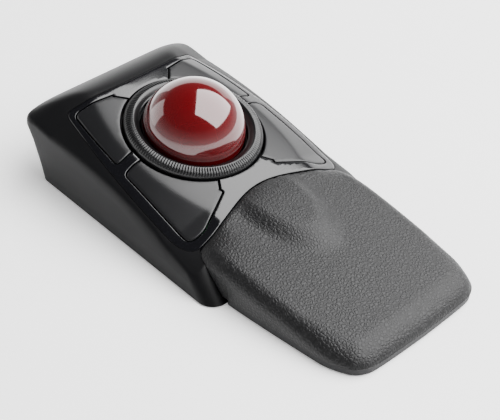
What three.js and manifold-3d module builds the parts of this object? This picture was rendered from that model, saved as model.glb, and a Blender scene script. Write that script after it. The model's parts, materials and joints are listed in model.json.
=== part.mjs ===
// Desktop trackball with a scroll ring, four large keys and a detachable padded wrist rest.
// Millimetres, +Z up. The user sits on the -Y side. The origin is on the desk, under the middle
// of the whole object. Inside the device group y is counted from the ball's centre.
// The deck group is tilted with the top deck: x to the right, y up the slope, z along its normal,
// with its origin at the ball's centre.
import * as THREE from 'three';
import Module from 'manifold-3d';
import { mergeVertices } from 'three/addons/utils/BufferGeometryUtils.js';

const wasm = await Module();
wasm.setup();

// ---------- driving dimensions ----------
const BALL_R = 27.5;
const BALL_Z = 37.5;                 // ball centre above the desk
const BALL_Y = 45;                   // ball centre behind the origin
const DECK_TILT = THREE.MathUtils.degToRad(11.4);
const GAP = 0.3;                     // clearance between neighbouring pieces

const BODY_BACK = 71;                // edge of the back lip, from the ball's centre
const BODY_FRONT = -80;              // tip of the nose under the wrist rest
const SHELL_BOTTOM = 0.6;            // lower edge of the casing above the desk
const WALL = 2.2;

const CROWN = 1.2;                   // deck height above the ball's centre, along the deck normal
const CROWN_RADIUS = 400;            // side-to-side curve of the deck
const KEY_SLOPE = 0.45;              // fall of the outer faces of the keys
const SHOULDER_SLOPE = 0.57;         // fall of the casing outside the deck
const RIM_BACK = 46;                 // back edge of the deck
const DECK_THICK = 2.3;
const KEY_THICK = 1.9;
const KEY_GAP = 0.35;                // half the slot round a key

const RING_OPENING_R = 38;
const RING_OUT_R = 37.2;
const RING_LIP_R = 28.8;
const RING_TOP = 4.45;
const ENCODER_TEETH = 24;

const CUP_IN_R = 28.6;
const CUP_OUT_R = 30.4;
const BEARING_R = 1.6;

const FRAME_Z = -12;                 // underside of the frame that carries the key pivots
const BOARD_THICK = 1.6;
const PIVOT_Z = -8.2;
const PIN_R = 1.0;

const BATTERY_R = 7.1;
const BATTERY_LENGTH = 49;
const BATTERY_Y = -45.5;
const BATTERY_Z = 10;

const REST_FRONT = -161;
const REST_PLATE_TOP = 3.6;
const REST_FILLET = 8;               // rounding of the pad's upper edge
const REST_HEIGHT = 21.6;            // height of the pad where it meets the nose
const REST_SLOPE = 0.145;
const REST_HUMP = 4;                 // swell of the pad under the palm
const REST_CROWN = 1.6;

// ---------- helpers ----------
const v2 = (x, y) => new THREE.Vector2(x, y);
const moved = (geometry, x, y, z) => geometry.translate(x, y, z);

// a closed three.js geometry as a manifold solid
function solid(geometry) {
  const bare = geometry.clone();
  bare.deleteAttribute('normal');
  bare.deleteAttribute('uv');
  const merged = mergeVertices(bare, 1e-4);
  return new wasm.Manifold(new wasm.Mesh({
    numProp: 3,
    vertProperties: Float32Array.from(merged.attributes.position.array),
    triVerts: Uint32Array.from(merged.index.array),
  }));
}

// a manifold solid as a three.js geometry
function surface(manifold) {
  const mesh = manifold.getMesh();
  const geometry = new THREE.BufferGeometry();
  geometry.setAttribute('position', new THREE.BufferAttribute(Float32Array.from(mesh.vertProperties), 3));
  geometry.setIndex(new THREE.BufferAttribute(Uint32Array.from(mesh.triVerts), 1));
  geometry.computeVertexNormals();
  return geometry;
}

// a straight prism over an outline, from z0 to z1, with optional holes
function prism(outline, z0, z1, holes = []) {
  const shape = new THREE.Shape(outline);
  for (const hole of holes) {
    shape.holes.push(new THREE.Path(hole));
  }
  const geometry = new THREE.ExtrudeGeometry(shape, { depth: z1 - z0, bevelEnabled: false });
  return moved(geometry, 0, 0, z0);
}

const box = (x0, x1, y0, y1, z0, z1) =>
  moved(new THREE.BoxGeometry(x1 - x0, y1 - y0, z1 - z0), (x0 + x1) / 2, (y0 + y1) / 2, (z0 + z1) / 2);

// an upright cylinder from z0 to z1
function post(radius, x, y, z0, z1, sides = 20) {
  const geometry = new THREE.CylinderGeometry(radius, radius, z1 - z0, sides);
  return moved(geometry.rotateX(Math.PI / 2), x, y, (z0 + z1) / 2);
}

// a cylinder along y
function bar(radius, x, y0, y1, z, sides = 16) {
  return moved(new THREE.CylinderGeometry(radius, radius, y1 - y0, sides), x, (y0 + y1) / 2, z);
}

const lathe = (points, segments) =>
  new THREE.LatheGeometry(points.map(([r, z]) => v2(r, z)), segments).rotateX(Math.PI / 2);

// an arc of points round (cx, cy), angles in degrees, both ends included
function arc(cx, cy, radius, from, to, steps) {
  return Array.from({ length: steps + 1 }, (_, i) => {
    const a = THREE.MathUtils.degToRad(from + (to - from) * i / steps);
    return v2(cx + radius * Math.cos(a), cy + radius * Math.sin(a));
  });
}

// a counter-clockwise outline grown outwards by d (inwards when negative)
function grown(outline, d) {
  return outline.map((p, i) => {
    const before = outline[(i + outline.length - 1) % outline.length];
    const after = outline[(i + 1) % outline.length];
    const a = p.clone().sub(before).normalize();
    const b = after.clone().sub(p).normalize();
    const normal = v2(a.y + b.y, -a.x - b.x).normalize();
    const spread = Math.max(0.5, normal.dot(v2(a.y, -a.x)));
    return p.clone().addScaledVector(normal, d / spread);
  });
}

const mirrored = (outline) => outline.map((p) => v2(-p.x, p.y)).reverse();

// the right half of an outline, from its bottom centre up to its top centre, made whole
const whole = (half) => [...half, ...mirrored(half).slice(1, -1)];

// an outline with corner i rounded off
function rounded(corners, radii, steps = 4) {
  return corners.flatMap((p, i) => {
    const r = radii[i];
    if (!r) {
      return [p];
    }
    const before = corners[(i + corners.length - 1) % corners.length];
    const after = corners[(i + 1) % corners.length];
    const start = p.clone().add(before.clone().sub(p).setLength(r));
    const end = p.clone().add(after.clone().sub(p).setLength(r));
    return new THREE.QuadraticBezierCurve(start, p, end).getPoints(steps);
  });
}

// a closed solid between a stack of outlines that all have the same number of points
function loft(levels) {
  const count = levels[0].outline.length;
  const points = levels.flatMap(({ z, outline }) => outline.flatMap((p) => [p.x, p.y, z]));
  const faces = [];
  for (let k = 0; k + 1 < levels.length; k += 1) {
    for (let i = 0; i < count; i += 1) {
      const a = k * count + i;
      const b = k * count + (i + 1) % count;
      faces.push(a, b, b + count, a, b + count, a + count);
    }
  }
  const lid = THREE.ShapeUtils.triangulateShape(levels[0].outline, []);
  const top = (levels.length - 1) * count;
  for (const [a, b, c] of lid) {
    faces.push(a, c, b, top + a, top + b, top + c);
  }
  const geometry = new THREE.BufferGeometry();
  geometry.setAttribute('position', new THREE.Float32BufferAttribute(points, 3));
  geometry.setIndex(faces);
  return geometry;
}

// a closed solid under a height function; columns(y) gives the x values of a row
function under(height, rows, columns, floor) {
  const wide = columns(rows[0]).length;
  const tall = rows.length;
  const points = [];
  for (const lift of [true, false]) {
    for (const y of rows) {
      for (const x of columns(y)) {
        points.push(x, y, lift ? height(x, y) : floor);
      }
    }
  }
  const faces = [];
  const quad = (a, b, c, d) => faces.push(a, b, c, a, c, d);
  const low = wide * tall;
  for (let j = 0; j + 1 < tall; j += 1) {
    for (let i = 0; i + 1 < wide; i += 1) {
      const a = j * wide + i;
      quad(a, a + 1, a + 1 + wide, a + wide);
      quad(low + a, low + a + wide, low + a + 1 + wide, low + a + 1);
    }
    const left = j * wide;
    const right = left + wide - 1;
    quad(left, left + wide, low + left + wide, low + left);
    quad(right, low + right, low + right + wide, right + wide);
  }
  for (let i = 0; i + 1 < wide; i += 1) {
    const back = low - wide + i;
    quad(i, low + i, low + i + 1, i + 1);
    quad(back, back + 1, low + back + 1, low + back);
  }
  const geometry = new THREE.BufferGeometry();
  geometry.setAttribute('position', new THREE.Float32BufferAttribute(points, 3));
  geometry.setIndex(faces);
  return geometry;
}

// ---------- the form of the deck and casing ----------
// half width of the deck's flat middle, where the keys start to fall away
const creaseX = (y) => 41.5 - (THREE.MathUtils.clamp(y, -46, 46) + 4) ** 2 / 240;
// half width of the deck
const rimX = (y) => 56 - (y + 42) ** 2 / 720;

// height of the top over the deck frame: the fall to the side and the fall to the back, blended
function topHeight(x, y) {
  const a = Math.abs(x);
  const crease = creaseX(y);
  const rim = rimX(y);
  const side = Math.min(a, crease) ** 2 / (2 * CROWN_RADIUS)
    + KEY_SLOPE * Math.max(0, Math.min(a, rim) - crease)
    + SHOULDER_SLOPE * Math.max(0, a - rim);
  const behind = Math.max(0, y - RIM_BACK);
  const back = 0.1 * behind + 0.023 * behind ** 2;
  return CROWN - Math.cbrt(side ** 3 + back ** 3);
}

const topRows = [-96, -74, -60, -46, -30, -14, 2, 18, 34, 46, 53, 60, 66, 72, 86];
function topColumns(y) {
  const crease = creaseX(y);
  const rim = rimX(y);
  const half = [0, crease * 0.35, crease * 0.7, crease, (crease + rim) / 2, rim, rim + 5, 74];
  return [...half.slice(1).reverse().map((x) => -x), ...half];
}
const topSolid = (drop) => under((x, y) => topHeight(x, y) - drop, topRows, topColumns, -90);

const deckMatrix = new THREE.Matrix4()
  .makeRotationX(DECK_TILT)
  .setPosition(0, 0, BALL_Z);
const inDevice = (geometry) => geometry.clone().applyMatrix4(deckMatrix);

// front edge of the deck, an arch round the wrist rest
const archY = (x) => -48.6 - 5.3 * (1 - Math.cos(Math.PI * Math.min(Math.abs(x), 50) / 50));
const archPoints = (half, steps) =>
  Array.from({ length: steps + 1 }, (_, i) => v2(half * i / steps, archY(half * i / steps)));

function deckOutline() {
  const side = [-44, -30, -16, -2, 12, 26, 40].map((y) => v2(rimX(y), y));
  const half = [
    ...archPoints(49, 10),
    v2(51.5, -58.6),
    v2(54, -55.8),
    v2(55.5, -51),
    ...side,
    v2(45.2, 46),
    v2(43.6, 48.6),
    v2(41, 49),
    v2(34, 47.6),
    v2(20, 46.4),
    v2(0, 45.8),
  ];
  return whole(half);
}

const at = (degrees, radius) => arc(0, 0, radius, degrees, degrees, 1)[0];

// the right-hand keys, counter-clockwise; the left-hand ones are their mirror images
function frontKeyOutline() {
  const corners = rounded(
    [v2(18.2, -42.2), v2(31, -48.9), v2(42.6, -54.3), v2(51, -53.6), v2(50.6, -30), v2(49.2, -2), v2(43, -1.3)],
    [2, 3, 3.5, 4, 8, 3, 0],
  );
  return [...corners, ...arc(0, 0, RING_OPENING_R, -2, -66.5, 12)];
}
function backKeyOutline() {
  const corners = rounded(
    [v2(43, 5), v2(48.4, 4.6), v2(45.8, 28), v2(42.4, 45.8), v2(30, 43.8), v2(19.4, 42.2)],
    [0, 3, 8, 4, 4, 1],
  );
  return [...corners, ...arc(0, 0, RING_OPENING_R, 68, 8.4, 12)];
}

// plan of the casing at one height: half widths at back and front, y of back and front
function casingOutline({ back, backX, frontX, front }, inset = 0) {
  const corner = 7;
  const wing = 9;
  const y1 = back - inset;
  const y0 = front + inset;
  const x1 = backX - inset;
  const x0 = frontX - inset;
  const side = [0.33, 0.67].map((t) => v2(
    THREE.MathUtils.lerp(x0, x1, t),
    THREE.MathUtils.lerp(y0 + wing, y1 - corner, t),
  ));
  return whole([
    v2(0, y0),
    v2(x0 - 2 * wing, y0),
    ...arc(x0 - wing, y0 + wing, wing, -90, 0, 5),
    ...side,
    ...arc(x1 - corner, y1 - corner, corner, 0, 90, 4),
    v2(0, y1),
  ]);
}
const casingLevels = [
  { z: SHELL_BOTTOM, back: 60, backX: 55.7, frontX: 63, front: BODY_FRONT },
  { z: 10, back: 62, backX: 56.5, frontX: 61.8, front: -70.4 },
  { z: 21, back: 65.4, backX: 57.4, frontX: 59.2, front: -59.6 },
  { z: 24, back: 66.6, backX: 57.5, frontX: 58.8, front: -56.5 },
  { z: 31, back: BODY_BACK, backX: 57.6, frontX: 58.4, front: -49.5 },
  { z: 60, back: BODY_BACK, backX: 57.2, frontX: 58.2, front: -49.5 },
];
const casingLoft = (inset, floor) => loft([{ ...casingLevels[0], z: floor }, ...casingLevels]
  .map((level) => ({ z: level.z, outline: casingOutline(level, inset) })));

// the space in front of the deck's arch that the wrist rest fills
function restPocket(back, depth) {
  const half = [v2(0, -120), v2(50.5 + back, -120), v2(50.5 + back, -60.4 + back)];
  const arch = archPoints(49, 10).reverse().map((p) => v2(p.x, p.y + back));
  const region = solid(prism(whole([...half, ...arch]), -80, 30));
  return solid(inDevice(surface(region.subtract(solid(topSolid(depth))))));
}

// outer form of the casing, deck and keys together
function casingForm() {
  return solid(loft(casingLevels.map((level) => ({ z: level.z, outline: casingOutline(level) }))))
    .intersect(solid(inDevice(topSolid(0))))
    .subtract(restPocket(0, 6));
}

// ---------- casing, deck and keys ----------
const caseScrews = [[-46, 38], [46, 38], [-54.6, -63], [54.6, -63]];

function upperHousing(form) {
  const cavity = solid(casingLoft(WALL, SHELL_BOTTOM - 5))
    .intersect(solid(inDevice(topSolid(4.6))))
    .subtract(restPocket(WALL, 8.2));
  const seat = solid(inDevice(surface(
    solid(prism(grown(deckOutline(), 0.25), -80, 30)).subtract(solid(topSolid(DECK_THICK + GAP))),
  )));
  const opening = solid(inDevice(prism(grown(deckOutline(), -3.5), -13, 30)));
  let housing = form.subtract(cavity);
  for (const [x, y] of caseScrews) {
    housing = housing.add(solid(post(3.4, x, y, 4.2, 60, 12)).intersect(form));
  }
  housing = housing.subtract(seat).subtract(opening);
  for (const [x, y] of caseScrews) {
    housing = housing.subtract(solid(post(1.6, x, y, 0, 11.5, 12)));
  }
  for (const x of [-28, 28]) {
    housing = housing.subtract(solid(box(x - 6.6, x + 6.6, -90, -70, 0, 3.3)));
  }
  return surface(housing);
}

function deckBezel() {
  let deck = solid(prism(deckOutline(), -30, 30))
    .intersect(solid(topSolid(0)))
    .subtract(solid(topSolid(DECK_THICK)))
    .subtract(solid(post(RING_OPENING_R, 0, 0, -30, 30, 60)));
  for (const key of [frontKeyOutline(), backKeyOutline()]) {
    for (const outline of [key, mirrored(key)]) {
      deck = deck.subtract(solid(prism(grown(outline, KEY_GAP), -30, 30)));
    }
  }
  return surface(deck);
}

const keys = {
  front: { outline: frontKeyOutline, pivotX: 45, barrel: [-31, -12], stem: v2(28, -38.6) },
  back: { outline: backKeyOutline, pivotX: 41, barrel: [12, 28], stem: v2(27, 37) },
};

// one key: its cap, the stem that presses its switch, and the barrel on its pivot pin
function keyCap({ outline, pivotX, barrel, stem }, side) {
  const plan = side > 0 ? outline() : mirrored(outline());
  const [y0, y1] = barrel;
  const x = side * pivotX;
  const cap = solid(prism(grown(plan, -KEY_GAP), -30, 30))
    .intersect(solid(topSolid(0)))
    .subtract(solid(topSolid(KEY_THICK)));
  const inside = solid(topSolid(KEY_THICK - 0.4));
  const web = solid(box(x - 1.1, x + 1.1, y0, y1, PIVOT_Z, 20)).intersect(inside);
  const foot = solid(post(2, side * stem.x, stem.y, -3.8, 20, 12)).intersect(inside);
  return surface(
    cap.add(foot)
      .add(web)
      .add(solid(bar(1.9, x, y0, y1, PIVOT_Z)))
      .subtract(solid(bar(PIN_R + GAP, x, y0 - 1, y1 + 1, PIVOT_Z))),
  );
}

// ---------- ball, ring and cup ----------
const ringGeometry = () => lathe([
  [31.2, -5], [RING_OUT_R, -5], [RING_OUT_R, 0.8], [36.4, 2.8],
  [34.6, 4.1], [32.4, RING_TOP], [31.6, 4.1], [29.6, 2.2], [RING_LIP_R, 1.9], [RING_LIP_R, 1],
  [31.2, 0.2], [31.2, -5],
], 48);

function encoderRing() {
  let ring = solid(lathe([[31.6, -8.2], [36.4, -8.2], [36.4, -5.4], [31.6, -5.4], [31.6, -8.2]], 48));
  const slot = box(34.2, 38, -1.2, 1.2, -9, -6.2);
  for (let i = 0; i < ENCODER_TEETH; i += 1) {
    ring = ring.subtract(solid(slot.clone().rotateZ(2 * Math.PI * (i + 0.5) / ENCODER_TEETH)));
  }
  return surface(ring);
}

const retainerGeometry = () =>
  lathe([[31, -9.7], [36, -9.7], [36, -8.6], [31, -8.6], [31, -9.7]], 48);

const BEARING_ANGLE = THREE.MathUtils.degToRad(52);      // from the bottom of the cup
const bearingDirections = [90, 210, 330].map((degrees) => {
  const turn = THREE.MathUtils.degToRad(degrees);
  const flat = Math.sin(BEARING_ANGLE);
  return new THREE.Vector3(flat * Math.cos(turn), flat * Math.sin(turn), -Math.cos(BEARING_ANGLE));
});

function ballCup() {
  const onSphere = (radius, degrees) => {
    const a = THREE.MathUtils.degToRad(degrees);
    return [radius * Math.cos(a), radius * Math.sin(a)];
  };
  const steps = 7;
  const curve = (radius, from, to) =>
    Array.from({ length: steps + 1 }, (_, i) => onSphere(radius, from + (to - from) * i / steps));
  const profile = [...curve(CUP_OUT_R, -77, -4), ...curve(CUP_IN_R, -4, -77)];
  let cup = solid(lathe([...profile, profile[0]], 32));
  for (const direction of bearingDirections) {
    const hole = new THREE.CylinderGeometry(BEARING_R + 0.4, BEARING_R + 0.4, 12, 12);
    const turn = new THREE.Quaternion().setFromUnitVectors(new THREE.Vector3(0, 1, 0), direction);
    hole.applyQuaternion(turn);
    const centre = direction.clone().multiplyScalar(BALL_R + 2);
    cup = cup.subtract(solid(moved(hole, centre.x, centre.y, centre.z)));
  }
  return surface(cup);
}

// ---------- frame, boards and switches under the deck ----------
function frameOutline() {
  const half = [
    ...archPoints(34, 6).map((p) => v2(p.x, Math.max(p.y + 6, -43.5))),
    v2(44, -43.5),
    ...[-36, -24, -10, 5, 20, 34].map((y) => v2(rimX(y) - 6.2, y)),
    v2(38, 39.5),
    v2(30, 41.5),
    v2(0, 41.5),
  ];
  return whole(half);
}

const switchSize = { x: 12.8, y: 6, z: 6.6 };
const around = (c, w, d, side) => [[-1, -1], [1, -1], [1, 1], [-1, 1]]
  .map(([i, j]) => v2(side * c.x + i * w / 2, c.y + j * d / 2));

function buttonFrame() {
  const windows = [around(v2(0, 39.2), 9, 3.4, 1)];
  for (const key of Object.values(keys)) {
    windows.push(around(key.stem, switchSize.x + 0.8, 6.8, 1), around(key.stem, switchSize.x + 0.8, 6.8, -1));
  }
  let frame = solid(prism(frameOutline(), FRAME_Z, FRAME_Z + BOARD_THICK));
  frame = frame.subtract(solid(post(33.5, 0, 0, -20, 0, 32)));
  for (const window of windows) {
    frame = frame.subtract(solid(prism(window, -20, 0)));
  }
  for (const { pivotX, barrel } of Object.values(keys)) {
    for (const side of [-1, 1]) {
      for (const y of [barrel[0] - 1.8, barrel[1] + 1.8]) {
        const x = side * pivotX;
        const lug = solid(box(x - 1.5, x + 1.5, y - 1.3, y + 1.3, FRAME_Z + 0.5, PIVOT_Z + 1.5));
        frame = frame.add(lug).subtract(solid(bar(PIN_R + 0.1, x, y - 3, y + 3, PIVOT_Z)));
      }
    }
  }
  return surface(frame);
}

function buttonBoard() {
  const z = FRAME_Z - 0.4 - BOARD_THICK;
  const disc = arc(0, 0, 33.5, 0, 360, 32).slice(0, -1);
  return prism(grown(frameOutline(), -0.5), z, z + BOARD_THICK, [disc]);
}
const BOARD_TOP = FRAME_Z - 0.4;

function switchBody() {
  const { x, y, z } = switchSize;
  const body = solid(box(-x / 2, x / 2, -y / 2, y / 2, 0, z));
  return surface(body.subtract(solid(box(-1.6, 1.6, -1.1, 1.1, z - 2.6, z + 1))));
}

function ringSensor() {
  const body = solid(box(-4, 4, 37.8, 40.4, BOARD_TOP + GAP, -4.4));
  return surface(body.subtract(solid(box(-1.5, 1.5, 36, 38.6, -8.4, -5.4))));
}

// ---------- base plate and what it carries ----------
const BAY_TOP = 11.5;                // top of the battery bay's walls
const DOOR = { x: 51, y0: -56, y1: -18.5, z0: SHELL_BOTTOM, z1: 2 };
const RECEIVER = { x: 20, y: -27.5 };
const SWITCH_SPOT = v2(-26, 40);
const CONNECT_SPOT = v2(24, 42);
const deviceFeet = [[-41, 46], [41, 46], [-41.6, -69.4], [41.6, -69.4]];

function basePlate() {
  let plate = solid(casingLoft(WALL + 0.4, SHELL_BOTTOM - 5))
    .intersect(solid(box(-80, 80, -100, 100, SHELL_BOTTOM, 3.6)));
  const bay = BATTERY_LENGTH + 5.6;
  for (const y of [BATTERY_Y - 8.9, BATTERY_Y + 7.7]) {
    plate = plate.add(solid(box(-bay, bay, y, y + 1.2, 3, BAY_TOP)));
  }
  for (const x of [-bay, bay - 1.2]) {
    plate = plate.add(solid(box(x, x + 1.2, BATTERY_Y - 8.9, BATTERY_Y + 8.9, 3, BAY_TOP)));
  }
  plate = plate.subtract(restPocket(WALL + GAP, 8.6));
  const cuts = [
    box(-DOOR.x - GAP, DOOR.x + GAP, DOOR.y0 - 6, DOOR.y1 + GAP, 0, DOOR.z1 + GAP),
    box(-50.2, 50.2, BATTERY_Y - 7.7, BATTERY_Y + 7.7, 0, 5),
    box(RECEIVER.x - 11, RECEIVER.x + 11, RECEIVER.y - 7.6, RECEIVER.y + 7.6, 0, 5),
    box(SWITCH_SPOT.x - 5.2, SWITCH_SPOT.x + 5.2, SWITCH_SPOT.y - 2.4, SWITCH_SPOT.y + 2.4, 0, 5),
    post(3.2, CONNECT_SPOT.x, CONNECT_SPOT.y, 0, 5),
    ...deviceFeet.map(([x, y]) => post(6.4, x, y, 0, 2.1, 16)),
    ...caseScrews.flatMap(([x, y]) => [post(3.3, x, y, 0, 2.5, 12), post(1.8, x, y, 0, 5, 10)]),
    ...[-28, 28].map((x) => box(x - 6.6, x + 6.6, -90, -70, 0, 3.1)),
  ];
  for (const cut of cuts) {
    plate = plate.subtract(solid(cut));
  }
  return surface(plate);
}

function batteryDoor() {
  const door = solid(box(-DOOR.x, DOOR.x, DOOR.y0, DOOR.y1, DOOR.z0, DOOR.z1));
  const grip = [3, 5.4, 7.8].map((step) => {
    const y = DOOR.y0 + step;
    return solid(box(-9, 9, y, y + 1, 0, 1.2));
  });
  return surface(grip.reduce((left, cut) => left.subtract(cut), door));
}

// a round cell lying along x, with its terminal nub towards +x
function battery() {
  const half = BATTERY_LENGTH / 2;
  const cell = [
    [0, -half], [BATTERY_R - 0.5, -half], [BATTERY_R, -half + 0.5], [BATTERY_R, half - 1.9],
    [BATTERY_R - 0.5, half - 1.4], [2.7, half - 1.4], [2.7, half], [0, half],
  ];
  return lathe(cell, 20).rotateY(Math.PI / 2);
}

function contactSpring() {
  const profile = [[0, 0], [4.4, 0], [4.4, 0.6], [3, 1.6], [2.2, 2.5], [0, 2.5]];
  return lathe(profile, 20).rotateY(Math.PI / 2);
}

function mainBoard() {
  const outline = rounded(
    [v2(-43, -19), v2(43, -19), v2(43, 30), v2(38, 52), v2(-38, 52), v2(-43, 30)],
    [3, 3, 2, 3, 3, 2],
  );
  return prism(outline, 7.6, 9.2, [arc(0, 1, 19, 0, 360, 36).slice(0, -1)]);
}

function slideKnob() {
  const slab = solid(box(-3, 3, -2, 2, 1.4, 4.3));
  const grooves = [-1.5, 0, 1.5].map((x) => solid(box(x - 0.3, x + 0.3, -3, 3, 0, 1.8)));
  return surface(grooves.reduce((left, cut) => left.subtract(cut), slab));
}

function caseScrew() {
  const profile = [[0, 0.6], [1.4, 0.6], [1.4, 0], [2.9, 0], [2.9, 1], [1.3, 1], [1.3, 8.5], [0, 9.5]];
  return lathe(profile, 10);
}

const padFoot = (radius, height) => lathe([
  [0, 0], [radius - 0.5, 0], [radius, 0.5], [radius, height], [0, height],
], 16);

// ---------- wrist rest ----------
const restFeet = [[-42, -92], [42, -92], [-34, -148], [34, -148]];

// right half of the rest's plan, from the middle of its front edge to its back corner
const restSide = [
  [0, REST_FRONT], [20, REST_FRONT + 0.4], [35, REST_FRONT + 1.2], [41, -157.9], [44.8, -155], [47, -151.5],
  [48.6, -147.8], [49.9, -144], [50.8, -140], [51.2, -135], [52.3, -117], [53.2, -98], [53.7, -80],
].map(([x, y]) => v2(x, y));
const restOutline = () => whole([...restSide, v2(53.7, -68), v2(50.8, -60.2), v2(46, -40), v2(0, -30)]);

// distance from a point of the plan to the rest's front and side edges
function edgeDistance(x, y) {
  const edge = [...restSide, v2(53.7, -40)];
  const point = new THREE.Vector3(Math.abs(x), y, 0);
  const near = new THREE.Vector3();
  let least = Infinity;
  for (let i = 0; i + 1 < edge.length; i += 1) {
    const [a, b] = [edge[i], edge[i + 1]].map((p) => new THREE.Vector3(p.x, p.y, 0));
    new THREE.Line3(a, b).closestPointToPoint(point, true, near);
    least = Math.min(least, near.distanceTo(point));
  }
  return least;
}

// height of the deck's arch edge above the desk, and its y
function archEdge(x) {
  const a = Math.min(Math.abs(x), 50);
  const p = new THREE.Vector3(a, archY(a), topHeight(a, archY(a))).applyMatrix4(deckMatrix);
  return { y: p.y, z: p.z };
}

// the pad's top without its rounded edges: falling to the front, crowned, with a soft hump at the back
function padBody(x, y) {
  const slope = REST_HEIGHT + REST_SLOPE * (y + 79);
  const reach = Math.hypot(x / 25, (y + 60) / 47);
  const hump = REST_HUMP * (1 - THREE.MathUtils.smoothstep(reach, 0.48, 1));
  const crown = REST_CROWN * (1 - (x / 50) ** 2);
  return slope + crown + hump;
}

// height of the pad's top; towards the arch it settles to the height of the deck's edge
function padHeight(x, y) {
  const arch = archEdge(x);
  const over = padBody(x, arch.y) - arch.z + 0.3;
  const settled = padBody(x, y) - over * Math.exp(-Math.max(0, arch.y - y) / 8);
  const d = Math.min(REST_FILLET, edgeDistance(x, y));
  const drop = REST_FILLET - Math.sqrt(REST_FILLET ** 2 - (REST_FILLET - d) ** 2);
  return Math.max(settled - drop, REST_PLATE_TOP + 1.5);
}

function restPad(form) {
  const rows = [
    -164, REST_FRONT, -160, -158, -155, -151, -145, -134, -120, -106, -96, -87, -78, -69, -61, -54, -47, -40,
  ];
  const shares = [0, 0.16, 0.32, 0.48, 0.66, 0.82, 0.9, 0.955, 0.985, 1, 1.1];
  const columns = () => {
    const half = shares.map((share) => 53.7 * share);
    return [...half.slice(1).reverse().map((x) => -x), ...half];
  };
  const shifted = form.translate(0, -0.45, 0.45);
  return surface(
    solid(under(padHeight, rows, columns, REST_PLATE_TOP + GAP))
      .intersect(solid(prism(restOutline(), 0, 60)))
      .subtract(shifted)
      .subtract(form),
  );
}

function restPlate() {
  const half = restSide.filter((p) => p.y < -85);
  const inner = grown(whole([...half, v2(53.4, -80.6), v2(0, -80.6)]), -0.3);
  let plate = solid(prism(inner, SHELL_BOTTOM, REST_PLATE_TOP));
  for (const x of [-28, 28]) {
    plate = plate.add(solid(box(x - 6, x + 6, -84, -72, 1.2, 2.6)));
  }
  for (const [x, y] of restFeet) {
    plate = plate.subtract(solid(post(5.4, x, y, 0, 2.1, 16)));
  }
  return surface(plate);
}

// ---------- materials ----------
const finish = (color, roughness, metalness = 0) =>
  new THREE.MeshStandardMaterial({ color, roughness, metalness });
const matteBlack = finish(0x1b1b1d, 0.55);
const glossBlack = finish(0x0c0c0e, 0.08);
const satinBlack = finish(0x26262a, 0.32);
const ringBlack = finish(0x141416, 0.4);
const ballRed = finish(0x8c1016, 0.05);
const leather = finish(0x3a3a3d, 0.6);
const rubber = finish(0x101010, 0.85);
const innerPlastic = finish(0x303034, 0.6);
const steel = finish(0xb4b6ba, 0.3, 1);
const ceramic = finish(0xe8e4da, 0.25);
const boardGreen = finish(0x1f5a38, 0.45);
const chipBlack = finish(0x16161a, 0.4);
const lensClear = finish(0xcfd8e0, 0.05);
const cellSleeve = finish(0x2f6d46, 0.35);

// ---------- assembly ----------
const product = new THREE.Group();
const device = new THREE.Group();
device.position.y = BALL_Y;
const deck = new THREE.Group();
deck.position.z = BALL_Z;
deck.rotation.x = DECK_TILT;
device.add(deck);
product.add(device);

function place(parent, name, geometry, material, x = 0, y = 0, z = 0) {
  const mesh = new THREE.Mesh(geometry, material);
  mesh.name = name;
  mesh.position.set(x, y, z);
  parent.add(mesh);
  return mesh;
}

const form = casingForm();
place(device, 'upper_housing', upperHousing(form), matteBlack);
place(deck, 'deck_bezel', deckBezel(), glossBlack);

for (const [row, key] of Object.entries(keys)) {
  for (const [hand, side] of [['left', -1], ['right', 1]]) {
    const tag = `${row}_${hand}`;
    const x = side * key.pivotX;
    place(deck, `button_${tag}`, keyCap(key, side), satinBlack);
    const pin = bar(PIN_R, 0, key.barrel[0] - 3, key.barrel[1] + 3, 0, 12);
    place(deck, `hinge_pin_${tag}`, pin, steel, x, 0, PIVOT_Z);
    place(deck, `switch_${tag}`, switchBody(), chipBlack, side * key.stem.x, key.stem.y, BOARD_TOP + GAP);
    const plunger = box(-1.2, 1.2, -0.8, 0.8, -7.1, -4.1);
    place(deck, `plunger_${tag}`, plunger, ceramic, side * key.stem.x, key.stem.y, 0);
  }
}

place(deck, 'scroll_ring', ringGeometry(), ringBlack);
place(deck, 'encoder_ring', encoderRing(), innerPlastic);
place(deck, 'ring_retainer', retainerGeometry(), innerPlastic);
place(deck, 'ball', new THREE.SphereGeometry(BALL_R, 32, 18).rotateX(Math.PI / 2), ballRed);
place(deck, 'ball_cup', ballCup(), innerPlastic);
bearingDirections.forEach((direction, i) => {
  const centre = direction.clone().multiplyScalar(BALL_R + BEARING_R + 0.15);
  const bead = new THREE.SphereGeometry(BEARING_R, 10, 7);
  place(deck, `support_bearing_${i + 1}`, bead, ceramic, centre.x, centre.y, centre.z);
});
place(deck, 'button_frame', buttonFrame(), innerPlastic);
place(deck, 'button_board', buttonBoard(), boardGreen);
place(deck, 'ring_sensor', ringSensor(), chipBlack);
place(deck, 'sensor_board', box(-10, 10, -9, 9, -32.6, -31.6), boardGreen);
place(deck, 'ball_sensor', box(-4, 4, -4, 4, -31.3, -30), chipBlack);
place(deck, 'sensor_lens', post(4.6, 0, 0, -29.7, -28.7), lensClear);

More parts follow.
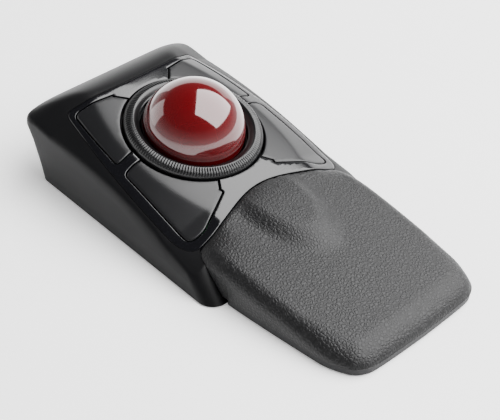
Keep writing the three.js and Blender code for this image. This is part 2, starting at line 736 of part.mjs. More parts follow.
place(device, 'main_board', mainBoard(), boardGreen);
place(device, 'radio_module', box(-8, 8, -6, 6, 0, 2.6), chipBlack, -28, 12, 9.5);
place(device, 'power_switch_body', box(-5, 5, -2.6, 2.6, 4.6, 7.3), chipBlack, SWITCH_SPOT.x, SWITCH_SPOT.y);
place(device, 'power_switch_knob', slideKnob(), satinBlack, SWITCH_SPOT.x - 1.5, SWITCH_SPOT.y);
const connectCap = lathe([[0, 0], [2.6, 0], [2.8, 0.3], [2.8, 3], [0, 3]], 20);
place(device, 'connect_button', connectCap, satinBlack, CONNECT_SPOT.x, CONNECT_SPOT.y, 1.4);
place(device, 'connect_switch', box(-3, 3, -3, 3, 5.2, 7.3), chipBlack, CONNECT_SPOT.x, CONNECT_SPOT.y);
place(device, 'base_plate', basePlate(), innerPlastic);
place(device, 'battery_door', batteryDoor(), innerPlastic);
const cellX = BATTERY_LENGTH / 2 + 0.2;
place(device, 'battery_1', battery(), cellSleeve, -cellX, BATTERY_Y, BATTERY_Z);
place(device, 'battery_2', battery(), cellSleeve, cellX, BATTERY_Y, BATTERY_Z);
place(device, 'contact_spring', contactSpring(), steel, -2 * cellX - 2.7, BATTERY_Y, BATTERY_Z);
place(device, 'contact_plate', box(-0.3, 0.3, -5, 5, -5, 3), steel, 2 * cellX + 0.8, BATTERY_Y, BATTERY_Z);
place(device, 'usb_receiver', box(-9.5, 9.5, -6.5, 6.5, 3.2, 8), satinBlack, RECEIVER.x, RECEIVER.y);
caseScrews.forEach(([x, y], i) => {
  place(device, `case_screw_${i + 1}`, caseScrew(), steel, x, y, SHELL_BOTTOM + 0.2);
});
deviceFeet.forEach(([x, y], i) => {
  place(device, `foot_${i + 1}`, padFoot(6, 1.8), rubber, x, y);
});
place(device, 'wrist_rest_base', restPlate(), innerPlastic);
place(device, 'wrist_rest_pad', restPad(form), leather);
restFeet.forEach(([x, y], i) => {
  place(device, `rest_foot_${i + 1}`, padFoot(5, 1.8), rubber, x, y);
});

export default product;
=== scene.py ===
"""Looks of a desktop trackball with a scroll ring, four keys and a padded wrist rest.
Shapes are worked out in millimetres and written in metres. Two frames are used: the device frame,
with y from the ball's centre and z from the desk, and the deck frame, tilted with the top deck,
with its origin at the ball's centre, x to the right, s up the slope and h along the normal."""
import json
import math

import bpy
import numpy as np
from mathutils import Matrix, Vector
from mathutils.geometry import delaunay_2d_cdt


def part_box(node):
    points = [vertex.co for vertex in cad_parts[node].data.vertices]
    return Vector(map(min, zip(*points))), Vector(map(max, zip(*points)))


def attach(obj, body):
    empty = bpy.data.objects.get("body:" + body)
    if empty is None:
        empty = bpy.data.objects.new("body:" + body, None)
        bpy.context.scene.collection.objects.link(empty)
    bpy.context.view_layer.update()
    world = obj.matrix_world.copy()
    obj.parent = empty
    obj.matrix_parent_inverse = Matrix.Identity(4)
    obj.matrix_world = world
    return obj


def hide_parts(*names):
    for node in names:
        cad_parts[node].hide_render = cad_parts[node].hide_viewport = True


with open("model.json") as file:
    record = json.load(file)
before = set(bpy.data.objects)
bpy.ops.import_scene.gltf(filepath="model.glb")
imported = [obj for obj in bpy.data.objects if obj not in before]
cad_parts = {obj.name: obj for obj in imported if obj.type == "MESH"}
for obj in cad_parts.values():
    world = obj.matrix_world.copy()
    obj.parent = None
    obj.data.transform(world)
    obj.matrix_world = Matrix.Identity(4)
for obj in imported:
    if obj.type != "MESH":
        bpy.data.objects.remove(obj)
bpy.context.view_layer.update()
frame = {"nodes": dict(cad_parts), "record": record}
nodes = frame["nodes"]

MM = 0.001
ball_low, ball_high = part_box("ball")
BALL_CENTRE = (ball_low + ball_high) / 2
BALL_R = (ball_high.z - ball_low.z) / 2 / MM
TILT = math.radians(11.4)
COS, SIN = math.cos(TILT), math.sin(TILT)
CENTRE = np.array(BALL_CENTRE) / MM

GAP = 0.3               # between fitted pieces
PAD_GAP = 0.45          # between the cushion and the casing
CROWN = 1.2             # h of the deck's middle
CROWN_RADIUS = 400      # the deck's curve from side to side
KEY_SLOPE = 0.45        # fall of a key's outer face
SHOULDER_SLOPE = 0.57   # fall of the casing's shoulder
RIM_BACK = 46           # s where the top rolls down to the back
ARCH_Y, ARCH_DIP, ARCH_HALF = -48.6, 5.3, 50    # front edge of the deck: s in the middle, fall, half width
DECK_THICK = 2.3
KEY_THICK = 1.9
KEY_GAP = 0.35
RING_OPENING_R = 38
SHELL_BOTTOM = 0.6
WALL = 2.2
PLATE_TOP = 3.6         # z of the rest's hard plate
PAD_HEIGHT, PAD_BACK, PAD_SLOPE, PAD_CROWN = 21.6, -79, 0.145, 1.6
HUMP, HUMP_Y, HUMP_SPREAD = 4.6, -60, (25, 47)
PAD_FILLET = 8
FILLET_GAIN = 7         # the fillet's extra width at the front
PAD_LIP = 0.9
POCKET_DEPTH = 6        # of the casing's recess for the rest
ROOF = 4.6              # from the top surface to the cavity
PIVOT_H = -8.2
RIBS = 150
SCREWS = [(-46, 38), (46, 38), (-54.6, -63), (54.6, -63)]
HOOKS = (-28, 28)       # x of the rest's two hooks
BEYOND, BELOW = 30, -80   # h past the form on both sides, for the cutting tools
SOFT_EDGE = 62          # degrees: sharper turns than this stay crisp on the deck and keys
PAD_EDGE_ANGLE = 50


# ---------- frames and small tools ----------
def deck_to_part(points):
    """Deck-frame points (x, s, h) as part-frame points."""
    x, s, h = np.asarray(points, float).T
    return np.stack([x + CENTRE[0], CENTRE[1] + s * COS - h * SIN, CENTRE[2] + s * SIN + h * COS], 1)


def device_to_part(points):
    """Device-frame points (x, y, z) as part-frame points."""
    return np.asarray(points, float) + [CENTRE[0], CENTRE[1], 0]


def as_is(points):
    return np.asarray(points, float)


def device_to_deck(points):
    x, y, z = np.asarray(points, float).T
    z = z - CENTRE[2]
    return np.stack([x, y * COS + z * SIN, z * COS - y * SIN], 1)


def place(name, data, to_part, smooth=32):
    """A mesh object from (points, faces) in one of the frames."""
    points, faces = data
    mesh = bpy.data.meshes.new(name)
    mesh.from_pydata((to_part(points) * MM).tolist(), [], [list(map(int, f)) for f in faces])
    mesh.validate()
    obj = bpy.data.objects.new(name, mesh)
    bpy.context.scene.collection.objects.link(obj)
    soften(obj, smooth)
    return obj


def soften(obj, angle=32):
    obj.data.shade_smooth()
    obj.data.set_sharp_from_angle(angle=math.radians(angle))


def settle(obj):
    """Turns the object's modifiers into its mesh."""
    depsgraph = bpy.context.evaluated_depsgraph_get()
    mesh = bpy.data.meshes.new_from_object(obj.evaluated_get(depsgraph))
    obj.modifiers.clear()
    obj.data = mesh


def combine(target, tools, how, smooth=32):
    """Boolean of the target with each tool in turn; the tools are used up."""
    for tool in tools:
        step = target.modifiers.new("cut", "BOOLEAN")
        step.operation = how
        step.solver = "MANIFOLD"
        step.object = tool
        settle(target)
        bpy.data.objects.remove(tool)
    soften(target, smooth)
    return target


def copy_of(obj, shift=(0, 0, 0)):
    twin = bpy.data.objects.new(obj.name + "_copy", obj.data.copy())
    bpy.context.scene.collection.objects.link(twin)
    twin.data.transform(Matrix.Translation(Vector(shift) * MM))
    return twin


def ramp(t, width=1.5):
    """A smooth version of max(0, t)."""
    return (t + np.sqrt(t * t + width * width)) / 2


def dense(outline, step=1.0):
    """The closed outline with no edge longer than the step."""
    out = []
    for a, b in zip(outline, np.roll(outline, -1, 0)):
        parts = max(1, math.ceil(np.hypot(*(b - a)) / step))
        out.extend(a + (b - a) * i / parts for i in range(parts))
    return np.array(out)


def spline(points, step=1.0):
    """An open run of points joined by a smooth curve through all of them."""
    p = np.asarray(points, float)
    p = np.vstack([2 * p[0] - p[1], p, 2 * p[-1] - p[-2]])
    out = []
    for i in range(1, len(p) - 2):
        parts = max(1, math.ceil(np.hypot(*(p[i + 1] - p[i])) / step))
        t = (np.arange(parts) / parts)[:, None]
        a, b, c, d = p[i - 1], p[i], p[i + 1], p[i + 2]
        out.append(0.5 * (2 * b + (c - a) * t + (2 * a - 5 * b + 4 * c - d) * t ** 2
                          + (3 * b - a - 3 * c + d) * t ** 3))
    return np.vstack(out + [p[-2:-1]])


def grown(outline, d):
    """A counter-clockwise outline moved outwards by d."""
    o = np.asarray(outline, float)
    a = o - np.roll(o, 1, 0)
    b = np.roll(o, -1, 0) - o
    a /= np.hypot(*a.T)[:, None]
    b /= np.hypot(*b.T)[:, None]
    normal = np.stack([a[:, 1] + b[:, 1], -a[:, 0] - b[:, 0]], 1)
    normal /= np.hypot(*normal.T)[:, None]
    spread = np.maximum(0.5, normal[:, 0] * a[:, 1] - normal[:, 1] * a[:, 0])
    return o + normal * (d / spread)[:, None]


def shrunk(outline, d):
    """The outline moved inwards by d, without the points that would fold over."""
    ring = grown(outline, -d)
    return ring[edge_distance(ring, [outline]) > 0.97 * d]


def mirrored(outline):
    """The outline on the other side of x = 0, with the same turning sense."""
    return (np.asarray(outline) * [-1, 1])[::-1]


def whole(half):
    """A closed outline from its right half, which starts and ends on x = 0."""
    return np.vstack([half, mirrored(half)[1:-1]])


def arc(cx, cy, radius, start, end, steps):
    a = np.radians(np.linspace(start, end, steps + 1))
    return np.stack([cx + radius * np.cos(a), cy + radius * np.sin(a)], 1)


def rounded(corners, radii, steps=10):
    """A closed outline with each corner turned into a curve that starts a radius away from it."""
    out = []
    corners = np.asarray(corners, float)
    for i, (p, r) in enumerate(zip(corners, radii)):
        if not r:
            out.append(p)
            continue
        before, after = corners[i - 1] - p, corners[(i + 1) % len(corners)] - p
        start, end = p + before / np.hypot(*before) * r, p + after / np.hypot(*after) * r
        for t in np.linspace(0, 1, steps + 1):
            out.append((1 - t) ** 2 * start + 2 * t * (1 - t) * p + t * t * end)
    return np.array(out)


def inside(points, outline):
    """Which points lie inside a closed outline."""
    x, y = points[:, 0][:, None], points[:, 1][:, None]
    a, b = outline, np.roll(outline, -1, 0)
    crosses = (a[:, 1] > y) != (b[:, 1] > y)
    rise = np.where(b[:, 1] == a[:, 1], 1e-9, b[:, 1] - a[:, 1])
    at = a[:, 0] + (y - a[:, 1]) * (b[:, 0] - a[:, 0]) / rise
    return (crosses & (x < at)).sum(1) % 2 == 1


def distance(points, line):
    """Distance from each point to an open run of points."""
    best = np.full(len(points), 1e9)
    for a, b in zip(line[:-1], line[1:]):
        along = b - a
        t = np.clip(((points - a) @ along) / max(1e-12, along @ along), 0, 1)
        best = np.minimum(best, np.hypot(*(points - a - t[:, None] * along).T))
    return best


def fill(loops, spacing, margin, extra=None, clear=None):
    """Triangles over the area between the loops, with a grid of points inside it where clear allows.
    The first vertices returned are the loops' own, in order."""
    edges, verts = [], []
    for loop in loops:
        n, start = len(loop), len(verts)
        verts.extend(map(tuple, loop))
        edges.extend((start + i, start + (i + 1) % n) for i in range(n))
    low, high = loops[0].min(0), loops[0].max(0)
    gx, gy = np.meshgrid(np.arange(low[0], high[0], spacing), np.arange(low[1], high[1], spacing))
    gx[1::2] += spacing / 2
    grid = np.stack([gx.ravel(), gy.ravel()], 1)
    grid = grid[within(grid, loops)]
    grid = grid[edge_distance(grid, loops) > margin] if len(grid) else grid
    if clear is not None:
        grid = grid[clear(grid)]
    if extra is not None:
        grid = np.vstack([grid, extra[within(extra, loops)]])
    verts.extend(map(tuple, grid))
    points, _, faces, _, _, _ = delaunay_2d_cdt([Vector(v) for v in verts], edges, [], 0, 1e-6)
    points = np.array([tuple(p) for p in points])
    points[:len(verts)] = verts
    faces = np.array([f for f in faces])
    corners = points[faces]
    a, b = corners[:, 1] - corners[:, 0], corners[:, 2] - corners[:, 0]
    faces = faces[np.abs(a[:, 0] * b[:, 1] - a[:, 1] * b[:, 0]) > 1e-9]
    return points, faces[within(points[faces].mean(1), loops)]


def within(points, loops):
    """Which points lie inside an odd number of the loops."""
    count = np.zeros(len(points), int)
    for loop in loops:
        count += inside(points, loop)
    return count % 2 == 1


def edge_distance(points, loops):
    """Distance from each point to the nearest of the closed loops."""
    return np.min([distance(points, np.vstack([loop, loop[:1]])) for loop in loops], 0)


def edge_rings(loops, radius, turns):
    """Points in rows along the loops, spaced for a rounded edge; rows that fold over are thinned."""
    rows = []
    for turn in np.radians(turns):
        d = radius * (1 - math.cos(turn))
        ring = np.vstack([grown(loop, -d) for loop in loops])
        rows.append(ring[edge_distance(ring, loops) > 0.97 * d])
    return np.vstack(rows)


def stacked(loops, top, top_faces, low, low_faces):
    """One closed solid from an upper and a lower skin that share their loops."""
    n = len(top)
    faces = [tuple(f) for f in top_faces] + [tuple(n + f[::-1]) for f in low_faces]
    at = 0
    for loop in loops:
        m = len(loop)
        faces += [(at + i, n + at + i, n + at + (i + 1) % m, at + (i + 1) % m) for i in range(m)]
        at += m
    return np.vstack([top, low]), faces


def sheet(loops, height, thick, radius, spacing=1.6):
    """A sheet that follows a height function, with its upper edges rounded.
    Each loop keeps the material on its left."""
    extra = edge_rings(loops, radius, (20, 36, 52, 70, 90))
    s = np.arange(-60, 50, 0.8)
    creases = np.vstack([np.column_stack([side * (crease_x(s) + off), s])
                         for side in (-1, 1) for off in (-3, -2, -1.3, -0.6, 0, 0.6, 1.3, 2, 3)])
    creases = creases[edge_distance(creases, loops) > radius + 0.3]
    top, top_faces = fill(loops, spacing, radius + spacing * 0.4, np.vstack([extra, creases]),
                          lambda p: np.abs(np.abs(p[:, 0]) - crease_x(p[:, 1])) > 3.4)
    d = np.minimum(radius, edge_distance(top, loops))
    d[:sum(len(loop) for loop in loops)] = 0
    drop = radius - np.sqrt(radius ** 2 - (radius - d) ** 2)
    low, low_faces = fill(loops, spacing * 2, spacing)
    return stacked(loops, np.column_stack([top, height(top) - drop]), top_faces,
                   np.column_stack([low, height(low) - thick]), low_faces)


def weld(points, faces, close=1e-4):
    """Merges points that coincide."""
    keys = np.round(points / close).astype(np.int64)
    _, first, back = np.unique(keys, axis=0, return_index=True, return_inverse=True)
    back = back.ravel()
    out = []
    for face in faces:
        f = [int(back[i]) for i in face]
        f = [v for k, v in enumerate(f) if v != f[k - 1]]
        if len(f) > 2:
            out.append(f)
    return points[first], out


def flat_fill(loops):
    """As few triangles as will do, with no points added inside."""
    return fill(loops, 400, 1)


def prism(outline, z0, z1):
    """A straight prism over an outline."""
    loops = [np.asarray(outline, float)]
    flat, faces = flat_fill(loops)
    low, top = (np.column_stack([flat, np.full(len(flat), z)]) for z in (z0, z1))
    return stacked(loops, top, faces, low, faces)


def loft(rows):
    """A closed solid through rows of equally many points, capped at both ends."""
    n, last = len(rows[0]), len(rows) - 1
    faces = [(k * n + i, k * n + (i + 1) % n, (k + 1) * n + (i + 1) % n, (k + 1) * n + i)
             for k in range(last) for i in range(n)]
    faces += [tuple(range(n))[::-1], tuple(range(last * n, (last + 1) * n))]
    return np.vstack(rows), faces


def lathe(profile, segments=96, centre=(0, 0), wave=None):
    """A closed profile of (r, z) turned about the upright axis; wave(r, z, angle) may move it."""
    profile = np.asarray(profile, float)
    closed = not (profile[0][0] < 1e-6 and profile[-1][0] < 1e-6)
    n = len(profile)
    angles = np.arange(segments) * 2 * math.pi / segments
    r = np.repeat(profile[:, 0][None], segments, 0)
    z = np.repeat(profile[:, 1][None], segments, 0)
    if wave:
        r, z = wave(r, z, angles[:, None])
    points = np.stack([centre[0] + r * np.cos(angles)[:, None],
                       centre[1] + r * np.sin(angles)[:, None], z], 2)
    faces = []
    for i in range(segments):
        j = (i + 1) % segments
        for k in range(n if closed else n - 1):
            above = (k + 1) % n
            faces.append((i * n + k, j * n + k, j * n + above, i * n + above))
    return weld(points.reshape(-1, 3), faces)


def slab(x0, x1, y0, y1, z0, z1):
    return prism([(x0, y0), (x1, y0), (x1, y1), (x0, y1)], z0, z1)


def rod(radius, x, y0, y1, z, sides=32):
    """A rod along s or y."""
    turn = np.arange(sides) * 2 * math.pi / sides
    return loft([np.stack([x + radius * np.cos(turn), np.full(sides, y), z - radius * np.sin(turn)], 1)
                 for y in (y0, y1)])


# ---------- the form of the deck, casing and pad ----------
def crease_x(s):
    """Half width of the deck where the keys fold down."""
    return 41.5 - (np.clip(s, -46, 46) + 4) ** 2 / 240


def rim_x(s):
    """Half width of the deck's outer edge."""
    return 56 - (s + 42) ** 2 / 720


def top_height(p):
    """h of the top surface: crowned deck, folded keys, tilted shoulders and the roll down at the back."""
    a, s = np.abs(p[:, 0]), p[:, 1]
    crease, rim = crease_x(s), rim_x(s)
    past_crease, past_rim = ramp(a - crease), ramp(a - rim)
    side = (np.maximum(0, a - past_crease) ** 2 / (2 * CROWN_RADIUS)
            + KEY_SLOPE * (past_crease - past_rim) + SHOULDER_SLOPE * past_rim)
    behind = ramp(s - RIM_BACK, 3)
    back = 0.1 * behind + 0.023 * behind ** 2
    return CROWN - np.cbrt(side ** 3 + back ** 3)


def top_solid(drop):
    """Everything under the top surface, lowered by the drop."""
    xs, ss = np.arange(-74, 74.1, 1.6), np.arange(-100, 88.1, 1.6)
    gx, gs = np.meshgrid(xs, ss)
    flat = np.stack([gx.ravel(), gs.ravel()], 1)
    n, w, t = len(flat), len(xs), len(ss)
    points = np.vstack([np.column_stack([flat, top_height(flat) - drop]),
                        np.column_stack([flat, np.full(n, -90)])])
    faces = []
    for j in range(t - 1):
        for i in range(w - 1):
            a = j * w + i
            faces.append((a, a + 1, a + 1 + w, a + w))
            faces.append((n + a, n + a + w, n + a + 1 + w, n + a + 1))
    rim = ([i for i in range(w)] + [j * w + w - 1 for j in range(1, t)]
           + [(t - 1) * w + i for i in range(w - 2, -1, -1)] + [j * w for j in range(t - 2, 0, -1)])
    for a, b in zip(rim, rim[1:] + rim[:1]):
        faces.append((a, n + a, n + b, b))
    return points, faces


def arch_y(x):
    """s of the deck's front edge, an arch that the cushion fits against."""
    return ARCH_Y - ARCH_DIP * (1 - np.cos(math.pi * np.minimum(np.abs(x), ARCH_HALF) / ARCH_HALF))


def arch_points(half, steps):
    x = np.linspace(0, half, steps + 1)
    return np.stack([x, arch_y(x)], 1)


def deck_outline():
    sides = [(rim_x(s), s) for s in (-44, -30, -16, -2, 12, 26, 40)]
    turn = spline([(48, arch_y(48)), (49, arch_y(49)), (51.5, -58.6), (54, -55.8), (55.5, -51), *sides,
                   (45.2, 46), (43.6, 48.6), (41, 49), (34, 47.6), (20, 46.4), (0, 45.8)])
    return whole(np.vstack([arch_points(47, 47), turn]))


def front_key():
    corners = rounded(
        [(18.2, -42.2), (31, -48.9), (42.6, -54.3), (51, -53.6), (50.6, -30), (49.2, -2), (43, -1.3)],
        [2, 3, 3.5, 4, 8, 3, 0])
    return dense(np.vstack([corners, arc(0, 0, RING_OPENING_R, -2, -66.5, 40)]))


def back_key():
    corners = rounded(
        [(43, 5), (48.4, 4.6), (45.8, 28), (42.4, 45.8), (30, 43.8), (19.4, 42.2)], [0, 3, 8, 4, 4, 1])
    return dense(np.vstack([corners, arc(0, 0, RING_OPENING_R, 68, 8.4, 40)]))


def deck_opening(slots):
    """The hole round the ring together with the key slots that open into it, as one clockwise loop."""
    runs = []
    for slot in slots:
        out = np.hypot(*slot.T) > RING_OPENING_R
        first = next(i for i in range(len(slot)) if out[i] and not out[i - 1])
        slot, out = np.roll(slot, -first, 0), np.roll(out, -first)
        run = slot[:np.argmin(out)]
        ends = []
        for beyond, within in ((run[0], slot[-1]), (run[-1], slot[len(run)])):
            t = (np.hypot(*beyond) - RING_OPENING_R) / (np.hypot(*beyond) - np.hypot(*within))
            ends.append(beyond + (within - beyond) * t)
        run = np.vstack([ends[0], run, ends[1]])
        runs.append((math.degrees(math.atan2(run[0][1], run[0][0])) % 360, run))
    runs.sort(key=lambda pair: pair[0])
    loop = []
    for (_, run), (following, _) in zip(runs, runs[1:] + runs[:1]):
        start = math.degrees(math.atan2(run[-1][1], run[-1][0])) % 360
        sweep = (following - start) % 360
        loop += [run, arc(0, 0, RING_OPENING_R, start, start + sweep, max(2, int(sweep)))[1:-1]]
    return np.vstack(loop)[::-1]


# plan of the casing by height: z, y of the back, half widths at back and front, y of the front
LEVELS = np.array([
    (0.6, 60, 55.7, 63, -80), (10, 62, 56.5, 61.8, -70.4), (21, 65.4, 57.4, 59.2, -59.6),
    (24, 66.6, 57.5, 58.8, -56.5), (31, 71, 57.6, 58.4, -49.5), (60, 71, 57.2, 58.2, -49.5)])


def casing_plan(z, inset=0):
    """The casing's outline at a height, moved inwards by the inset."""
    back, back_x, front_x, front = (np.interp(z, LEVELS[:, 0], LEVELS[:, k]) for k in (1, 2, 3, 4))
    corner, wing = 7, 9
    y1, y0, x1, x0 = back - inset, front + inset, back_x - inset, front_x - inset
    line = np.linspace(0, 1, 14)[:-1, None]
    ahead = np.array([[0, y0]]) * (1 - line) + np.array([[x0 - wing, y0]]) * line
    side = np.linspace(0, 1, 66)[1:-1, None]
    along = np.array([[x0, y0 + wing]]) * (1 - side) + np.array([[x1, y1 - corner]]) * side
    behind = np.array([[x1 - corner, y1]]) * (1 - line) + np.array([[0, y1]]) * line
    return whole(np.vstack([
        ahead, arc(x0 - wing, y0 + wing, wing, -90, 0, 14), along,
        arc(x1 - corner, y1 - corner, corner, 0, 90, 14), behind[1:], [[0, y1]]]))


def casing_loft(inset, floor):
    """The casing's sides carried straight up past the top, as a block."""
    zs = [floor, *np.linspace(SHELL_BOTTOM, 60, 40)]
    plans = [casing_plan(max(z, SHELL_BOTTOM), inset) for z in zs]
    return loft([np.column_stack([p, np.full(len(p), z)]) for p, z in zip(plans, zs)])


def casing_skin(edge=2.0):
    """The casing's outer form as one skin: sides, rounded upper edge and top, all closed.
    The shoulder is crisp at the back lip and rolls over more and more towards the front."""
    fine = np.linspace(SHELL_BOTTOM, 59, 300)
    plans = np.array([casing_plan(z) for z in fine])
    n = plans.shape[1]
    at = np.arange(n)

    def on_side(z):
        k = np.clip((z - fine[0]) / (fine[1] - fine[0]), 0, len(fine) - 1.001)
        i, t = k.astype(int), (k % 1)[:, None]
        return np.column_stack([plans[i, at] * (1 - t) + plans[i + 1, at] * t, z])

    low, high = np.full(n, 1.0), np.full(n, 58.0)
    for _ in range(40):
        middle = (low + high) / 2
        q = device_to_deck(on_side(middle))
        over = q[:, 2] > top_height(q)
        low, high = np.where(over, low, middle), np.where(over, middle, high)
    corner = on_side(low)
    target = np.column_stack([corner[:, 0] * 0.35, np.clip(corner[:, 1], -30, 30)])

    def on_top(flat):
        z = np.full(n, 40.0)
        for _ in range(12):
            q = device_to_deck(np.column_stack([flat, z]))
            z = z - (q[:, 2] - top_height(q)) * 0.9
        return np.column_stack([flat, z])

    inward = target - corner[:, :2]
    length = np.hypot(*inward.T)[:, None]
    first = on_top(corner[:, :2] + inward / length * edge)
    forward = np.clip((62 - corner[:, 1]) / 90, 0, 1)
    down = edge + (7.5 * forward * (3 - 2 * forward) * forward) * (corner[:, 1] > -75)
    below = on_side(np.maximum(SHELL_BOTTOM + 0.4, low - np.minimum(down, low * 0.45)))
    rows = [on_side(SHELL_BOTTOM + (below[:, 2] - SHELL_BOTTOM) * t) for t in np.linspace(0, 1, 30)]
    for t in np.linspace(0, 1, 13)[1:-1]:
        rows.append((1 - t) ** 2 * below + 2 * t * (1 - t) * corner + t * t * first)
    rows.append(first)
    for t in np.linspace(0, 1, 26)[1:]:
        rows.append(on_top(first[:, :2] + (target - first[:, :2]) * t))
    return loft(rows)


def rest_pocket(back, depth):
    """The recess that takes the rest, from the depth under the top surface upwards."""
    arch = arch_points(49, 49)[::-1] + [0, back]
    region = whole(np.vstack([[(0, -120), (50.5 + back, -120), (50.5 + back, -60.4 + back)], arch]))
    pocket = place("pocket", prism(region, BELOW, BEYOND), deck_to_part)
    return combine(pocket, [place("under", top_solid(depth), deck_to_part)], "DIFFERENCE")


REST_SIDE = spline([
    (0, -161), (20, -160.6), (35, -159.8), (41, -157.9), (44.8, -155), (47, -151.5), (48.6, -147.8),
    (49.9, -144), (50.8, -140), (51.2, -135), (52.3, -117), (53.2, -98), (53.7, -80)], 1.2)
REST_SIDE[0, 0] = 0
PAD_EDGE = np.vstack([REST_SIDE, [(53.7, y) for y in range(-78, -39, 2)]])


def arch_edge(x):
    """y of the deck's arch edge, and its height over the desk."""
    a = np.minimum(np.abs(x), ARCH_HALF)
    flat = np.stack([a, arch_y(a)], 1)
    p = deck_to_part(np.column_stack([flat, top_height(flat)])) - [CENTRE[0], CENTRE[1], 0]
    return p[:, 1], p[:, 2]


def pad_body(x, y):
    """The pad's top without its rounded edges: it falls to the front, with a soft hump at the back."""
    reach = np.hypot(x / HUMP_SPREAD[0], (y - HUMP_Y) / HUMP_SPREAD[1])
    reach = np.clip((reach - 0.5) / 0.46, 0, 1)
    hump = HUMP * (1 - reach * reach * (3 - 2 * reach))
    return PAD_HEIGHT + PAD_SLOPE * (y - PAD_BACK) + PAD_CROWN * (1 - (x / ARCH_HALF) ** 2) + hump


def pad_height(p):
    """The pad's top: it settles to the arch edge at the back and rolls over at every other edge."""
    x, y = p[:, 0], p[:, 1]
    arch, edge_z = arch_edge(x)
    over = pad_body(x, arch) - edge_z + 0.15
    settled = pad_body(x, y) - over * np.exp(-np.maximum(0, arch - y) / 8)
    behind = np.minimum(PAD_LIP, np.maximum(0, arch - PAD_GAP - y))
    roll = PAD_LIP - np.sqrt(PAD_LIP ** 2 - (PAD_LIP - behind) ** 2)
    settled -= np.where(np.abs(x) < 50.5, roll, 0)
    reach = PAD_FILLET + FILLET_GAIN * np.clip((-118 - y) / 34, 0, 1)
    d = np.minimum(1, distance(np.stack([np.abs(x), y], 1), PAD_EDGE) / reach)
    drop = PAD_FILLET * (1 - np.sqrt(1 - (1 - d) ** 2))
    return np.maximum(settled - drop, PLATE_TOP + 0.6)


def pad_solid():
    half = np.vstack([PAD_EDGE, [(40, -39), (20, -36), (0, -34)]])
    loops = [dense(whole(half), 1.4)]
    extra = edge_rings(loops, PAD_FILLET, (3, 7, 11, 16, 21, 27, 33, 40, 47))
    top, top_faces = fill(loops, 1.3, PAD_FILLET * 0.32 + 0.6, extra)
    low, low_faces = flat_fill(loops)
    return stacked(loops, np.column_stack([top, pad_height(top)]), top_faces,
                   np.column_stack([low, np.full(len(low), PLATE_TOP + GAP)]), low_faces)


# ---------- casing and wrist rest ----------
def build_casing():
    """The hollow casing, and the cushion, which is cut by the casing's outer form."""
    form = place("casing", casing_skin(), device_to_part)
    combine(form, [rest_pocket(0, POCKET_DEPTH)], "DIFFERENCE")
    pad = place("wrist_rest_cushion", pad_solid(), device_to_part, PAD_EDGE_ANGLE)
    combine(pad, [copy_of(form, (0, -PAD_GAP, PAD_GAP)), copy_of(form)], "DIFFERENCE", PAD_EDGE_ANGLE)
    cavity = place("cavity", casing_loft(WALL, SHELL_BOTTOM - 5), device_to_part)
    combine(cavity, [place("inner_top", top_solid(ROOF), deck_to_part)], "INTERSECT")
    combine(cavity, [rest_pocket(WALL, POCKET_DEPTH + WALL)], "DIFFERENCE")
    seat = place("seat", prism(grown(deck_outline(), 0.25), BELOW, BEYOND), deck_to_part)
    combine(seat, [place("seat_floor", top_solid(DECK_THICK + GAP), deck_to_part)], "DIFFERENCE")
    opening = place("opening", prism(shrunk(deck_outline(), 3.5), -13, BEYOND), deck_to_part)
    outer_form = copy_of(form)
    combine(form, [cavity], "DIFFERENCE")
    for screw in SCREWS:
        boss = lathe([(0, 4.2), (3.4, 4.2), (3.4, 60), (0, 60)], 40, screw)
        boss = place("boss", boss, device_to_part)
        combine(boss, [copy_of(outer_form)], "INTERSECT")
        combine(form, [boss], "UNION")
    bpy.data.objects.remove(outer_form)
    cuts = [seat, opening]
    for screw in SCREWS:
        bore = lathe([(0, 0), (1.6, 0), (1.6, 11.5), (0, 11.5)], 32, screw)
        cuts.append(place("bore", bore, device_to_part))
    for x in HOOKS:
        cuts.append(place("notch", slab(x - 6.6, x + 6.6, -90, -70, 0, 3.3), device_to_part))
    combine(form, cuts, "DIFFERENCE")
    return form, pad


casing, pad = build_casing()
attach(casing, "device")
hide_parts("upper_housing")
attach(pad, "wrist_rest_body")
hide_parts("wrist_rest_pad")

# ---------- deck, keys, ring and ball ----------
key_plans = [front_key(), back_key()]
slots = [grown(plan, KEY_GAP) for key in key_plans for plan in (key, mirrored(key))]
deck_sheet = sheet([deck_outline(), deck_opening(slots)], top_height, DECK_THICK, 0.5, 1.5)
deck = place("deck_cover", deck_sheet, deck_to_part, SOFT_EDGE)
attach(deck, "device")
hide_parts("deck_bezel")

# each key's plan, its pivot's x and range of s, and where its stem stands
KEYS = {"front": (key_plans[0], 45, (-31, -12), (28, -38.6)), "back": (key_plans[1], 41, (12, 28), (27, 37))}
STEM = [(0, -3.8), (1.7, -3.8), (2, -3.5), (2, 20), (0, 20)]


def build_key(name, side, plan, pivot, barrel, stem):
    """A key cap with its pivot barrel, hung on a web, and the stem that works its switch."""
    outline = grown(plan if side > 0 else mirrored(plan), -KEY_GAP)
    cap = place(name, sheet([outline], top_height, KEY_THICK, 0.75, 1.5), deck_to_part, SOFT_EDGE)
    under_cap = place("under", top_solid(KEY_THICK - 0.4), deck_to_part)
    x = side * pivot
    web = place("web", slab(x - 1.1, x + 1.1, *barrel, PIVOT_H, 20), deck_to_part)
    combine(web, [copy_of(under_cap)], "INTERSECT")
    foot = place("foot", lathe(STEM, 32, (side * stem[0], stem[1])), deck_to_part)
    combine(foot, [under_cap], "INTERSECT")
    sleeve = place("barrel", rod(1.9, x, *barrel, PIVOT_H), deck_to_part)
    combine(cap, [web, foot, sleeve], "UNION", SOFT_EDGE)
    bore = place("bore", rod(1.3, x, barrel[0] - 1, barrel[1] + 1, PIVOT_H), deck_to_part)
    return combine(cap, [bore], "DIFFERENCE", SOFT_EDGE)


